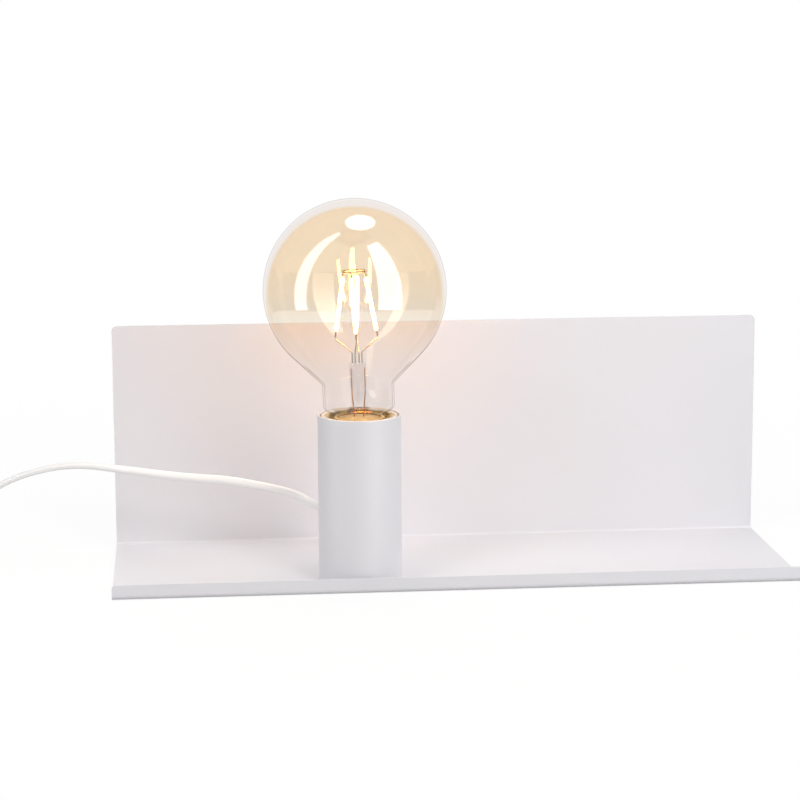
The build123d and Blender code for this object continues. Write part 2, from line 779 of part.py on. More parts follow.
with BuildPart() as switch_base:
    with BuildSketch(Plane(origin=(switch_x, switch_y, floor))):
        RectangleRounded(switch_l, switch_w, switch_corner)
    extrude(amount=switch_half)
    fillet(switch_base.edges().group_by(Axis.Z)[0], radius=1.0)
    with BuildSketch(Plane(origin=(switch_x, switch_y, switch_z))):
        RectangleRounded(
            switch_l - 4 * switch_screw_inset, switch_w - 2 * switch_wall, switch_wall
        )
    extrude(amount=-(switch_half - switch_wall), mode=Mode.SUBTRACT)
    with BuildSketch(Plane(origin=(0, switch_y, floor))):
        with Locations(*[(x, 0) for x in switch_screw_xs]):
            Circle(switch_screw_r + fit)
    extrude(amount=switch_half, mode=Mode.SUBTRACT)
    with BuildSketch(Plane(origin=(0, switch_y, floor))):
        with Locations(*[(x, 0) for x in switch_screw_xs]):
            Circle(switch_screw_head_r + fit)
    extrude(amount=switch_screw_head_t + running, mode=Mode.SUBTRACT)
switch_base.part.label = "switch_base"
export_step(switch_base.part, "parts/switch_base.step")

with BuildPart() as switch_cover:
    with BuildSketch(Plane(origin=(switch_x, switch_y, switch_z))):
        RectangleRounded(switch_l, switch_w, switch_corner)
    extrude(amount=switch_half)
    fillet(switch_cover.edges().group_by(Axis.Z)[-1], radius=switch_edge)
    with BuildSketch(Plane(origin=(switch_x, switch_y, switch_z))):
        RectangleRounded(
            switch_l - 4 * switch_screw_inset, switch_w - 2 * switch_wall, switch_wall
        )
    extrude(amount=switch_half - switch_wall, mode=Mode.SUBTRACT)
    with BuildSketch(Plane(origin=(switch_x, switch_y, switch_z))):
        Rectangle(rocker_l + 4 * running, rocker_w + 2 * running)
    extrude(amount=switch_half, mode=Mode.SUBTRACT)
    with BuildSketch(Plane(origin=rocker_axis.position, z_dir=(0, 1, 0))):
        Circle(pin_r + fit)
    extrude(amount=switch_w / 2 - switch_wall / 2, both=True, mode=Mode.SUBTRACT)
    with BuildSketch(Plane(origin=(0, switch_y, switch_z))):
        with Locations(*[(x, 0) for x in switch_screw_xs]):
            Circle(switch_screw_r + fit)
    extrude(amount=switch_half / 2, mode=Mode.SUBTRACT)
switch_cover.part.label = "switch_cover"
export_step(switch_cover.part, "parts/switch_cover.step")

with BuildPart() as switch_rocker:
    lean = radians(rocker_tilt)
    rocker_plane = Plane(
        origin=rocker_axis.position, x_dir=(cos(lean), 0, -sin(lean)), z_dir=(0, -1, 0)
    )
    with BuildSketch(rocker_plane):
        with BuildLine():
            Polyline(
                (-rocker_l / 2, -rocker_below),
                (rocker_l / 2, -rocker_below),
                (rocker_l / 2, rocker_below - 1.0 + rocker_above),
                (0, rocker_below - 1.0 + rocker_above - rocker_dip),
                (-rocker_l / 2, rocker_below - 1.0 + rocker_above),
                close=True,
            )
        make_face()
        Circle(pin_r + fit, mode=Mode.SUBTRACT)
    extrude(amount=rocker_w / 2, both=True)
    fillet(switch_rocker.edges().group_by(Axis.Z)[-1], radius=0.6)
switch_rocker.part.label = "switch_rocker"
export_step(switch_rocker.part, "parts/switch_rocker.step")

with BuildPart() as rocker_pin:
    with BuildSketch(Plane(origin=rocker_axis.position, z_dir=(0, 1, 0))):
        Circle(pin_r)
    extrude(amount=switch_w / 2 - switch_wall / 2 - contact_gap, both=True)
rocker_pin.part.label = "rocker_pin"
export_step(rocker_pin.part, "parts/rocker_pin.step")

for number, screw_x in enumerate(switch_screw_xs, start=1):
    with BuildPart() as switch_screw:
        with BuildSketch(Plane(origin=(screw_x, switch_y, floor + running))):
            Circle(switch_screw_head_r)
        extrude(amount=switch_screw_head_t)
        with BuildSketch(Plane(origin=(screw_x, switch_y, floor + running))):
            Circle(switch_screw_r)
        extrude(amount=switch_half * 1.5 - 2 * running)
    switch_screw.part.label = f"switch_screw_{number}"
    export_step(switch_screw.part, f"parts/switch_screw_{number}.step")


# Two-pin plug, its pins pointing back towards the coil
plug_z = floor + plug_t / 2
plug_back = plug_x - plug_l
with BuildPart() as plug_body:
    with BuildSketch(Plane(origin=(plug_back, plug_y, plug_z), x_dir=(0, 1, 0), z_dir=(1, 0, 0))):
        RectangleRounded(plug_back_w, plug_back_t, plug_corner * 0.9)
    with BuildSketch(
        Plane(origin=(plug_x - plug_l * 0.4, plug_y, plug_z), x_dir=(0, 1, 0), z_dir=(1, 0, 0))
    ):
        RectangleRounded(plug_w, plug_t, plug_corner)
    loft(ruled=True)
    with BuildSketch(
        Plane(origin=(plug_x - plug_l * 0.4, plug_y, plug_z), x_dir=(0, 1, 0), z_dir=(1, 0, 0))
    ):
        RectangleRounded(plug_w, plug_t, plug_corner)
    extrude(amount=plug_l * 0.4)
    fillet(plug_body.faces().sort_by(Axis.X)[-1].edges(), radius=0.8)
plug_body.part.label = "plug_body"
export_step(plug_body.part, "parts/plug_body.step")

for number, side in enumerate((-1, 1), start=1):
    pin_y = plug_y + side * plug_pin_apart / 2
    pin_plane = Plane(origin=(plug_x, pin_y, plug_z), x_dir=(1, 0, 0), z_dir=(0, 0, 1))
    with BuildPart() as plug_pin:
        with BuildSketch(pin_plane):
            with BuildLine():
                Polyline(
                    (0, 0),
                    (0, plug_pin_core_r),
                    (sleeve_len, plug_pin_core_r),
                    (sleeve_len, plug_pin_r),
                    (plug_pin_len - 1.2, plug_pin_r),
                    (plug_pin_len, plug_pin_r - 1.0),
                    (plug_pin_len, 0),
                    close=True,
                )
            make_face()
        revolve(axis=Axis((plug_x, pin_y, plug_z), (1, 0, 0)))
    plug_pin.part.label = f"plug_pin_{number}"
    export_step(plug_pin.part, f"parts/plug_pin_{number}.step")

    with BuildPart() as plug_sleeve:
        with BuildSketch(Plane(origin=(plug_x, pin_y, plug_z), z_dir=(1, 0, 0))):
            Circle(sleeve_r)
            Circle(plug_pin_core_r, mode=Mode.SUBTRACT)
        extrude(amount=sleeve_len)
    plug_sleeve.part.label = f"plug_sleeve_{number}"
    export_step(plug_sleeve.part, f"parts/plug_sleeve_{number}.step")

relief_start = plug_back - relief_len
with BuildPart() as plug_relief:
    with BuildSketch(Plane(origin=(relief_start, plug_y, plug_z), z_dir=(1, 0, 0))):
        Circle(relief_end_r)
    with BuildSketch(Plane(origin=(plug_back, plug_y, plug_z), z_dir=(1, 0, 0))):
        Circle(relief_r)
    loft()
plug_relief.part.label = "plug_relief"
export_step(plug_relief.part, "parts/plug_relief.step")

# The cord's tail turns back from the switch to the plug.
tail_points = [
    Vector(switch_right - switch_l, switch_y, switch_z),
    Vector(-401.0, switch_y, switch_z),
    Vector(-419.0, -38.0, -77.0),
    Vector(-435.0, -49.0, -77.0),
    Vector(-442.5, -66.5, -77.1),
    Vector(-435.5, -82.5, -77.1),
    Vector(relief_start - 9.0, plug_y, plug_z),
    Vector(relief_start, plug_y, plug_z),
]
tail_radii = cord_radii(tail_points)
with BuildPart() as cord_tail:
    with BuildLine() as tail_path:
        FilletPolyline(*tail_points, radius=tail_radii)
    with BuildSketch(Plane(origin=tail_points[0], z_dir=tail_path.line % 0)):
        Circle(cord_r)
    sweep()
cord_tail.part.label = "cord_tail"
export_step(cord_tail.part, "parts/cord_tail.step")
print("tail radii", [round(r, 1) for r in tail_radii], "length", round(tail_path.wire().length, 1))

cord_length = lead_path.wire().length + coil_wire.length + tail_path.wire().length
cord_length += link_path.wire().length + switch_l + relief_len + gland_len
print("cord length from the tube to the plug", round(cord_length, 1))
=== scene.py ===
"""Looks of the shelf wall lamp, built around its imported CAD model. Metres, in the CAD frame."""

import json
import math

import bpy
from mathutils import Matrix, Vector


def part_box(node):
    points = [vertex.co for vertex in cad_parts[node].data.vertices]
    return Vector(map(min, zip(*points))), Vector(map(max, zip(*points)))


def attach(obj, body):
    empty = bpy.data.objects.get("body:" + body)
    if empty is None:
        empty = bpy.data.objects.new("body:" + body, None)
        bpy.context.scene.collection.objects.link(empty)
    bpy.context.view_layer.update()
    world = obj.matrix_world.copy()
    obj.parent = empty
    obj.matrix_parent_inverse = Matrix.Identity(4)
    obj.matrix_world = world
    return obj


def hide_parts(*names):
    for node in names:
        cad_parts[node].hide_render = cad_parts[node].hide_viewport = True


bl_info = {
    "name": "Shelf wall lamp",
    "version": (1, 0, 0),
    "blender": (4, 5, 0),
    "location": "3D View > Sidebar > Lamp",
    "description": "Dresses the packed shelf wall lamp: flex, globe bulb, finishes and studio",
    "category": "Object",
}

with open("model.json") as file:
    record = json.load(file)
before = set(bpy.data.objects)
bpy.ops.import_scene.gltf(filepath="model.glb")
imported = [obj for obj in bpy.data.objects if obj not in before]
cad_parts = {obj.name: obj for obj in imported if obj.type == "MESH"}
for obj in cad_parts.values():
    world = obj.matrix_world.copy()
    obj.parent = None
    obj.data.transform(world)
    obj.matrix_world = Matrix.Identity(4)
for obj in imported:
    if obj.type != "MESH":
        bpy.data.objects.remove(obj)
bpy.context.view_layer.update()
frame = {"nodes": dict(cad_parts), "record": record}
NODES = frame["nodes"]
BODY = "lamp"
BULB = "bulb"

# Places that the CAD solids give
tube_low, tube_high = (Vector(c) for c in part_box("lamp_tube"))
AXIS_X = (tube_low.x + tube_high.x) / 2
AXIS_Y = (tube_low.y + tube_high.y) / 2
FLOOR_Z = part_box("shelf_bracket")[0][2]
glass_low, glass_high = (Vector(c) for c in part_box("bulb_glass"))
GLOBE = Vector((
    (glass_low.x + glass_high.x) / 2,
    AXIS_Y,
    glass_high.z - (glass_high.x - glass_low.x) / 2,
))

# The bulb's glass stands a little way down in its cap, and leans from there
GLASS_SEAT = 0.0027
PIVOT_RISE = 0.0015
GLASS_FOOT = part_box("bulb_cap")[1][2] - GLASS_SEAT
PIVOT = Vector((AXIS_X, AXIS_Y, GLASS_FOOT + PIVOT_RISE))
GLOBE_Z = PIVOT.z + (GLOBE - PIVOT).length
LEAN = (
    Matrix.Translation(PIVOT)
    @ Matrix.Rotation(math.atan2(GLOBE.x - PIVOT.x, GLOBE.z - PIVOT.z), 4, "Y")
    @ Matrix.Translation(-PIVOT)
)


class LampSizes(bpy.types.PropertyGroup):
    """Sizes of the pieces that are made here."""

    globe_radius: bpy.props.FloatProperty(
        name="Globe radius", description="Outside radius of the globe", default=0.0473, unit="LENGTH"
    )
    glass_wall: bpy.props.FloatProperty(
        name="Glass wall", description="Thickness of the bulb glass", default=0.0009, unit="LENGTH"
    )
    neck_radius: bpy.props.FloatProperty(
        name="Neck radius", description="Outside radius of the straight neck", default=0.0185, unit="LENGTH"
    )
    foot_radius: bpy.props.FloatProperty(
        name="Glass foot radius", description="Outside radius where the glass enters its cap",
        default=0.0112, unit="LENGTH",
    )
    flex_width: bpy.props.FloatProperty(
        name="Flex width", description="Wide side of the flat flex", default=0.0046, unit="LENGTH"
    )
    flex_thickness: bpy.props.FloatProperty(
        name="Flex thickness", description="Narrow side of the flat flex", default=0.0031, unit="LENGTH"
    )
    stick_radius: bpy.props.FloatProperty(
        name="Stick radius", description="Radius of a glowing stick", default=0.0009, unit="LENGTH"
    )


class LampColours(bpy.types.PropertyGroup):
    """Colours and light of the lamp."""

    coat: bpy.props.FloatVectorProperty(
        name="Coat", description="Powder coat of shelf and tube", subtype="COLOR", default=(0.798, 0.79, 0.82)
    )
    flex: bpy.props.FloatVectorProperty(
        name="Flex", description="Sheath of the cord", subtype="COLOR", default=(0.91, 0.905, 0.90)
    )
    tint: bpy.props.FloatVectorProperty(
        name="Glass tint", description="Tint of one face of the amber glass", subtype="COLOR",
        default=(0.997, 0.944, 0.869),
    )
    glow: bpy.props.FloatVectorProperty(
        name="Glow", description="Colour of the glowing sticks", subtype="COLOR", default=(1.0, 0.44, 0.10)
    )
    glow_strength: bpy.props.FloatProperty(
        name="Glow strength", description="Brightness of the glowing sticks", default=60.0
    )


class LampStage(bpy.types.PropertyGroup):
    """Studio round the lamp."""

    left_light: bpy.props.FloatProperty(
        name="Left box", description="Small box high on the left", default=6.7, unit="POWER"
    )
    low_light: bpy.props.FloatProperty(
        name="Low box", description="Small box low on the left", default=0.6, unit="POWER"
    )
    right_light: bpy.props.FloatProperty(
        name="Right box", description="Soft box on the right", default=5.8, unit="POWER"
    )
    high_light: bpy.props.FloatProperty(
        name="High box", description="Small box high on the right", default=5.3, unit="POWER"
    )
    side_light: bpy.props.FloatProperty(
        name="Side box", description="Soft box far to the right", default=6.6, unit="POWER"
    )
    back_light: bpy.props.FloatProperty(
        name="Back box", description="Wide light over the wall side", default=7.0, unit="POWER"
    )
    rear_light: bpy.props.FloatProperty(
        name="Rear box", description="Light on the back of the plate", default=4.5, unit="POWER"
    )
    fill: bpy.props.FloatProperty(name="Fill", description="Even light of the room", default=0.385)


class Wire:
    """A shader value that takes part in plain arithmetic."""

    def __init__(self, tree, socket):
        self.tree = tree
        self.socket = socket

    def math(self, operation, first, second=None, clamp=False):
        node = self.tree.nodes.new("ShaderNodeMath")
        node.operation = operation
        node.use_clamp = clamp
        for place, value in enumerate((first, second)):
            if isinstance(value, Wire):
                self.tree.links.new(value.socket, node.inputs[place])
            elif value is not None:
                node.inputs[place].default_value = value
        return Wire(self.tree, node.outputs[0])

    def __add__(self, other):
        return self.math("ADD", self, other)

    __radd__ = __add__

    def __mul__(self, other):
        return self.math("MULTIPLY", self, other)

    __rmul__ = __mul__

    def __sub__(self, other):
        return self.math("SUBTRACT", self, other)

    def __rsub__(self, other):
        return self.math("SUBTRACT", other, self)

    def __pow__(self, other):
        return self.math("POWER", self, other)

    def clamped(self):
        """Held between 0 and 1."""
        return self.math("ADD", self, 0.0, clamp=True)

    def step(self, low, high):
        """0 below low, 1 above high and smooth between."""
        node = self.tree.nodes.new("ShaderNodeMapRange")
        node.interpolation_type = "SMOOTHSTEP"
        self.tree.links.new(self.socket, node.inputs["Value"])
        node.inputs["From Min"].default_value = low
        node.inputs["From Max"].default_value = high
        return Wire(self.tree, node.outputs[0])


class Finish:
    """The nodes of one material or of the world."""

    def __init__(self, owner):
        self.owner = owner
        owner.use_nodes = True
        self.tree = owner.node_tree
        self.tree.nodes.clear()

    def add(self, kind, settings=None, values=None, out=0):
        """A node by its type, its settings and the values or wires of its sockets."""
        node = self.tree.nodes.new(kind)
        for key, value in (settings or {}).items():
            setattr(node, key, value)
        for key, value in (values or {}).items():
            if isinstance(value, Wire):
                self.tree.links.new(value.socket, node.inputs[key])
            else:
                node.inputs[key].default_value = value
        return Wire(self.tree, node.outputs[out])

    def place(self):
        """Object coordinates in metres."""
        return self.add("ShaderNodeTexCoord", out="Object")

    def axis(self, letter):
        return self.add("ShaderNodeSeparateXYZ", values={"Vector": self.place()}, out="XYZ".index(letter))

    def stretched(self, scale):
        return self.add("ShaderNodeMapping", values={"Vector": self.place(), "Scale": scale})

    def noise(self, scale, detail, vector=None):
        return self.add(
            "ShaderNodeTexNoise",
            values={"Vector": vector or self.place(), "Scale": scale, "Detail": detail, "Roughness": 0.55},
        )

    def facing(self):
        """0 where the face looks at the viewer, 1 where it is edge on."""
        return self.add("ShaderNodeLayerWeight", values={"Blend": 0.5}, out="Facing")

    def bump(self, height, strength, distance):
        return self.add(
            "ShaderNodeBump", values={"Strength": strength, "Distance": distance, "Height": height}
        )

    def tones(self, factor, dark, light):
        """A colour between two, by a value."""
        return self.add(
            "ShaderNodeMix",
            {"data_type": "RGBA"},
            {"Factor": factor, 6: (*dark, 1.0), 7: (*light, 1.0)},
            out=2,
        )

    def vector(self, operation, first, second=None, out="Value"):
        """Vector Math, which gives a number unless another output is named."""
        values = {0: first} if second is None else {0: first, 1: second}
        return self.add("ShaderNodeVectorMath", {"operation": operation}, values, out)

    def ray(self, kind):
        return self.add("ShaderNodeLightPath", out=kind)

    def looked_at(self):
        """1 for what the camera, a mirror or glass shows, 0 for what only lights."""
        return (self.ray("Is Camera Ray") + self.ray("Is Glossy Ray") + self.ray("Is Transmission Ray")).clamped()

    def see_through(self, colour):
        return self.add("ShaderNodeBsdfTransparent", values={"Color": (*colour, 1.0)})

    def matt(self, grey):
        return self.add("ShaderNodeBsdfDiffuse", values={"Color": (grey, grey, grey, 1.0)})

    def shining(self, grey, strength):
        return self.add("ShaderNodeEmission", values={"Color": (grey, grey, grey, 1.0), "Strength": strength})

    def mixed(self, share, first, second):
        """Two shaders, with a share of the second."""
        return self.add("ShaderNodeMixShader", values={"Fac": share, 1: first, 2: second})

    def surface(self, shader):
        """Ends the nodes in a shader and gives the material or world."""
        world = isinstance(self.owner, bpy.types.World)
        node = self.tree.nodes.new("ShaderNodeOutputWorld" if world else "ShaderNodeOutputMaterial")
        self.tree.links.new(shader.socket, node.inputs["Surface"])
        return self.owner


def shade(colour, factor):
    """A colour made lighter or darker."""
    return tuple(max(0.0, min(1.0, c * factor)) for c in colour[:3])


def new_finish(name):
    return Finish(bpy.data.materials.new(name))


def powder_coat(name, colour):
    """Matt powder coat: a fine orange-peel skin, faintly uneven in tone and gloss."""
    f = new_finish(name)
    peel = f.noise(900.0, 3.0)
    cloud = f.noise(14.0, 2.0)
    skin = f.add(
        "ShaderNodeBsdfPrincipled",
        values={
            "Base Color": f.tones(cloud, shade(colour, 0.985), shade(colour, 1.01)),
            "Roughness": 0.46 + 0.12 * peel,
            "Specular IOR Level": 0.42,
            "Normal": f.bump(peel, 0.10, 0.0002),
        },
    )
    return f.surface(skin)


def moulded(name, colour, rough, grain=700.0, depth=0.05):
    """Moulded plastic or rubber with a fine spark-eroded grain."""
    f = new_finish(name)
    speck = f.noise(grain, 2.0)
    cloud = f.noise(30.0, 2.0)
    skin = f.add(
        "ShaderNodeBsdfPrincipled",
        values={
            "Base Color": f.tones(cloud, shade(colour, 0.97), shade(colour, 1.02)),
            "Roughness": rough + 0.10 * speck,
            "Normal": f.bump(speck, depth, 0.0002),
        },
    )
    return f.surface(skin)


DRAWN_LINES = (40.0, 900.0, 900.0)


def metal(name, colour, rough):
    """Drawn or plated metal with fine lines along one way and stains in its gloss."""
    f = new_finish(name)
    lines = f.noise(1.0, 3.0, f.stretched(DRAWN_LINES))
    stain = f.noise(60.0, 2.0)
    skin = f.add(
        "ShaderNodeBsdfPrincipled",
        values={
            "Base Color": f.tones(stain, shade(colour, 0.90), shade(colour, 1.05)),
            "Metallic": 1.0,
            "Roughness": rough + 0.14 * lines * stain,
            "Normal": f.bump(lines, 0.06, 0.0002),
        },
    )
    return f.surface(skin)


def film(f, tint, share):
    """One face of thin glass: tinted see-through, of which a share mirrors."""
    mirror = f.add("ShaderNodeBsdfGlossy", values={"Color": (1.0, 1.0, 1.0, 1.0), "Roughness": 0.01})
    return f.mixed(share, f.see_through(tint), mirror)


# Glass of the bulb. Heights are from the globe's centre, and an edge is 0 face on and 1 edge on.
# Depths below the globe's radius tell its outer face from its inner one.
UPPER_HEIGHTS = -0.016, 0.002
BOTTOM_HEIGHTS = -0.036, -0.016
LOWER_MIRROR, UPPER_MIRROR = 0.10, 0.05
DEEP_EDGE = 0.50, 0.75
DEEP_SHADE = 0.953
# Painted reflection: a pale see-through band on the upper rim stands in for the white room mirrored at grazing
PAINTED_RIM_REFLECTION = (0.968, 0.952, 0.942)
PAINTED_REFLECTION_EDGE = 0.69, 0.76
PAINTED_REFLECTION_SLOPE = 2.9
# Painted shade: a thin dark see-through outline at the globe's edge, fuller below, stands in for the dark edge
# that refraction in the glass gives
PAINTED_SHADE_OUTLINE = (0.68, 0.64, 0.63)
PAINTED_SHADE_EDGE = 0.80, 0.93
PAINTED_SHADE_ABOVE = 0.35
FACE_DEPTHS = 0.0005, 0.0002
NECK_TINT = (0.99, 0.99, 0.985)
NECK_MIRROR, NECK_EDGE_MIRROR = 0.012, 0.35
STEM_TINT = (0.994, 0.992, 0.988)
STEM_MIRROR, STEM_EDGE_MIRROR = 0.03, 0.18
GLANCING = 4.0


def amber_glass(name, tint, ball, neck_low, neck_high):
    """Amber globe, which turns clear at its neck, with a painted reflection as a pale see-through band on its
    upper rim and painted shade as a thin dark outline at its edge.
    """
    f = new_finish(name)
    facing, height = f.facing(), f.axis("Z")
    upper = height.step(*(GLOBE.z + rise for rise in UPPER_HEIGHTS))
    bottom = 1 - height.step(*(GLOBE.z + rise for rise in BOTTOM_HEIGHTS))
    bare = film(f, NECK_TINT, NECK_MIRROR + NECK_EDGE_MIRROR * facing**GLANCING)
    amber = film(f, tint, LOWER_MIRROR - (LOWER_MIRROR - UPPER_MIRROR) * upper)
    amber = f.mixed(facing.step(*DEEP_EDGE), amber, f.see_through(shade(tint, DEEP_SHADE)))
    # Painted reflection: the upper rim turns pale see-through at grazing, more so higher up
    rim = upper * (facing + PAINTED_REFLECTION_SLOPE * (height - GLOBE.z)).step(*PAINTED_REFLECTION_EDGE)
    amber = f.mixed(rim, amber, f.see_through(PAINTED_RIM_REFLECTION))
    whole = f.mixed(height.step(neck_low, neck_high), bare, amber)
    # Painted shade: a thin dark see-through outline on the outer face's edge, weaker on the upper part
    outside = f.vector("DISTANCE", f.place(), tuple(GLOBE)).step(*(ball - depth for depth in FACE_DEPTHS))
    thin = (PAINTED_SHADE_ABOVE + (1 - PAINTED_SHADE_ABOVE) * bottom) * outside * facing.step(*PAINTED_SHADE_EDGE)
    return f.surface(f.mixed(thin, whole, f.see_through(PAINTED_SHADE_OUTLINE)))


def clear_glass(name):
    """Clear glass of the stem."""
    f = new_finish(name)
    return f.surface(film(f, STEM_TINT, STEM_MIRROR + STEM_EDGE_MIRROR * f.facing()**GLANCING))


def glowing(name, colour, strength):
    """Yellow sleeve of a light-emitting stick, a little uneven along its length."""
    f = new_finish(name)
    band = f.noise(160.0, 1.0)
    skin = f.add(
        "ShaderNodeBsdfPrincipled",
        values={
            "Base Color": (0.9, 0.62, 0.2, 1.0),
            "Roughness": 0.5,
            "Emission Color": f.tones(band, shade(colour, 0.92), colour),
            "Emission Strength": strength,
        },
    )
    return f.surface(skin)


def mesh_piece(name, verts, faces, material, body):
    """A finished mesh piece in place, riding on a body."""
    mesh = bpy.data.meshes.new(name)
    mesh.from_pydata([tuple(v) for v in verts], [], faces)
    mesh.validate()
    mesh.polygons.foreach_set("use_smooth", [True] * len(mesh.polygons))
    mesh.materials.append(material)
    piece = bpy.data.objects.new(name, mesh)
    bpy.context.scene.collection.objects.link(piece)
    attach(piece, body)
    return piece


def lathe(profile, steps, closed):
    """Verts and faces of a profile of (radius, height) points turned about the tube's axis."""
    verts, rings = [], []
    for radius, height in profile:
        if radius < 1e-7:
            rings.append([len(verts)])
            verts.append((AXIS_X, AXIS_Y, height))
            continue
        rings.append(list(range(len(verts), len(verts) + steps)))
        for k in range(steps):
            turn = 2 * math.pi * k / steps
            verts.append((AXIS_X + radius * math.cos(turn), AXIS_Y + radius * math.sin(turn), height))
    pairs = list(zip(rings, rings[1:])) + ([(rings[-1], rings[0])] if closed else [])
    faces = []
    for low, high in pairs:
        if len(low) == 1 and len(high) == 1:
            continue
        for k in range(steps):
            after = (k + 1) % steps
            if len(low) == 1:
                faces.append((low[0], high[after], high[k]))
            elif len(high) == 1:
                faces.append((low[k], low[after], high[0]))
            else:
                faces.append((low[k], low[after], high[after], high[k]))
    return verts, faces


def rounded(points, radii, steps):
    """A line of flat points whose inner corners are rounded."""
    line = [Vector(points[0])]
    for before, here, after, radius in zip(points, points[1:], points[2:], radii):
        before, here, after = Vector(before), Vector(here), Vector(after)
        if radius <= 0:
            line.append(here)
            continue
        one, two = (before - here).normalized(), (after - here).normalized()
        half = one.angle(two) / 2
        reach = radius / math.tan(half)
        centre = here + (one + two).normalized() * (radius / math.sin(half))
        start, end = here + one * reach - centre, here + two * reach - centre
        for k in range(steps + 1):
            line.append(centre + start.slerp(end, k / steps) * radius)
    line.append(Vector(points[-1]))
    return line


SPLINE_STEPS = 6
FLEX_SIDES = 20


def spline_points(name, route):
    """Points along the smooth NURBS line of a route."""
    data = bpy.data.curves.new(name, "CURVE")
    data.dimensions = "3D"
    data.resolution_u = SPLINE_STEPS
    spline = data.splines.new("NURBS")
    spline.points.add(len(route) - 1)
    for point, place in zip(spline.points, route):
        point.co = (*place, 1.0)
    spline.order_u = 3
    spline.use_endpoint_u = True
    line = bpy.data.objects.new(name, data)
    bpy.context.scene.collection.objects.link(line)
    bpy.context.view_layer.update()
    shape = bpy.data.meshes.new_from_object(line.evaluated_get(bpy.context.evaluated_depsgraph_get()))
    points = [v.co.copy() for v in shape.vertices]
    bpy.data.objects.remove(line)
    bpy.data.meshes.remove(shape)
    return points


def flex_outline(width, thickness):
    """Flat-sided oval of the flex, the wide way first."""
    half, round_r = (width - thickness) / 2, thickness / 2
    outline = []
    for k in range(FLEX_SIDES):
        turn = 2 * math.pi * (k + 0.5) / FLEX_SIDES
        across = math.copysign(half, math.cos(turn)) + round_r * math.cos(turn)
        outline.append((across, round_r * math.sin(turn)))
    return outline


def flex_mesh(points, width, thickness, lean):
    """Verts and faces of the flat flex along points; lean(point) turns its wide side from upright."""
    outline = flex_outline(width, thickness)
    count = len(outline)
    verts, faces = [], []
    for k, point in enumerate(points):
        way = (points[min(k + 1, len(points) - 1)] - points[max(k - 1, 0)]).normalized()
        side = way.cross(Vector((0, 0, 1))).normalized()
        up = side.cross(way).normalized()
        turn = lean(point)
        wide = up * math.cos(turn) + side * math.sin(turn)
        thin = way.cross(wide)
        verts += [point + wide * a + thin * b for a, b in outline]
    for k in range(len(points) - 1):
        for j in range(count):
            after = (j + 1) % count
            here, there = k * count, (k + 1) * count
            faces.append((here + j, here + after, there + after, there + j))
    faces.append(tuple(range(count))[::-1])
    faces.append(tuple((len(points) - 1) * count + j for j in range(count)))
    return verts, faces


# Route of the flex, from inside the tube to the coil, as in the part's source
EXIT_TURN = math.radians(28.0)
EXIT_WAY = Vector((-math.sin(EXIT_TURN), math.cos(EXIT_TURN), 0.0))
EXIT_START = Vector((AXIS_X, AXIS_Y, -0.051))
GLAND_END = EXIT_START + EXIT_WAY * 0.03775
LEAD_ROUTE = [
    EXIT_START + EXIT_WAY * 0.0165,
    GLAND_END,
    GLAND_END + EXIT_WAY * 0.01012,
    Vector((-0.0825, -0.0530, -0.0466)),
    Vector((-0.0980, -0.0495, -0.0432)),
    Vector((-0.1190, -0.0470, -0.0392)),
    Vector((-0.1440, -0.0445, -0.0377)),
    Vector((-0.1720, -0.0410, -0.0340)),
    Vector((-0.2010, -0.0380, -0.0304)),
    Vector((-0.2240, -0.0370, -0.0343)),
    Vector((-0.2430, -0.0365, -0.0418)),
    Vector((-0.2560, -0.0362, -0.0535)),
    Vector((-0.2670, -0.0361, -0.0660)),
    Vector((-0.2800, -0.0360, -0.0756)),
    Vector((-0.2914, -0.0360, -0.0756)),
]
COIL_CENTRE = Vector((-0.296, -0.072, 0.0))
COIL_HIGH, COIL_LOW = -0.0756, -0.0807
COIL_REACH = 0.036
COIL_STEP = 0.00255
COIL_HALF_TURNS = 8
COIL_POINTS = 16
LINK_ROUTE = [
    Vector((-0.3006, -0.03345, -0.0807)),
    Vector((-0.3090, -0.03345, -0.0807)),
    Vector((-0.3202, -0.03345, -0.0770)),
    Vector((-0.3296, -0.03345, -0.0770)),
]
TAIL_ROUTE = [
    Vector((-0.3856, -0.03345, -0.0770)),
    Vector((-0.4010, -0.03345, -0.0770)),
    Vector((-0.4190, -0.0380, -0.0770)),
    Vector((-0.4350, -0.0490, -0.0770)),
    Vector((-0.4425, -0.0665, -0.0771)),
    Vector((-0.4355, -0.0825, -0.0771)),
    Vector((-0.4220, -0.0900, -0.07715)),
    Vector((-0.4120, -0.0900, -0.07715)),
]


def coil_route():
    """Control points of the coil: in on the upper layer, down a layer and out again."""
    reach = [COIL_REACH - COIL_STEP * k for k in range(COIL_HALF_TURNS + 1)]
    reach += [reach[-1] + COIL_STEP * (k + 2) for k in range(COIL_HALF_TURNS)]
    # The smooth line runs inside its control points, so these stand a little further out
    swell = 1.0 / (0.75 + 0.25 * math.cos(2 * math.pi / COIL_POINTS))
    route = []
    for j in range(1, COIL_HALF_TURNS * COIL_POINTS):
        place = j / (COIL_POINTS / 2)
        k = int(place)
        share = place - k
        radius = (reach[k] + (reach[k + 1] - reach[k]) * share) * swell
        drop = min(max(place - (COIL_HALF_TURNS - 1), 0.0), 1.0)
        turn = math.pi * place
        height = COIL_HIGH + (COIL_LOW - COIL_HIGH) * drop
        route.append(COIL_CENTRE + Vector((-radius * math.sin(turn), radius * math.cos(turn), height)))
    return route


# Turns of the flex's wide side from upright, by x
LEAD_TURNS = [(-0.075, 0.0), (-0.105, 0.55), (-0.165, 0.75), (-0.195, 1.35), (-0.245, 1.45), (-0.282, 0.0)]


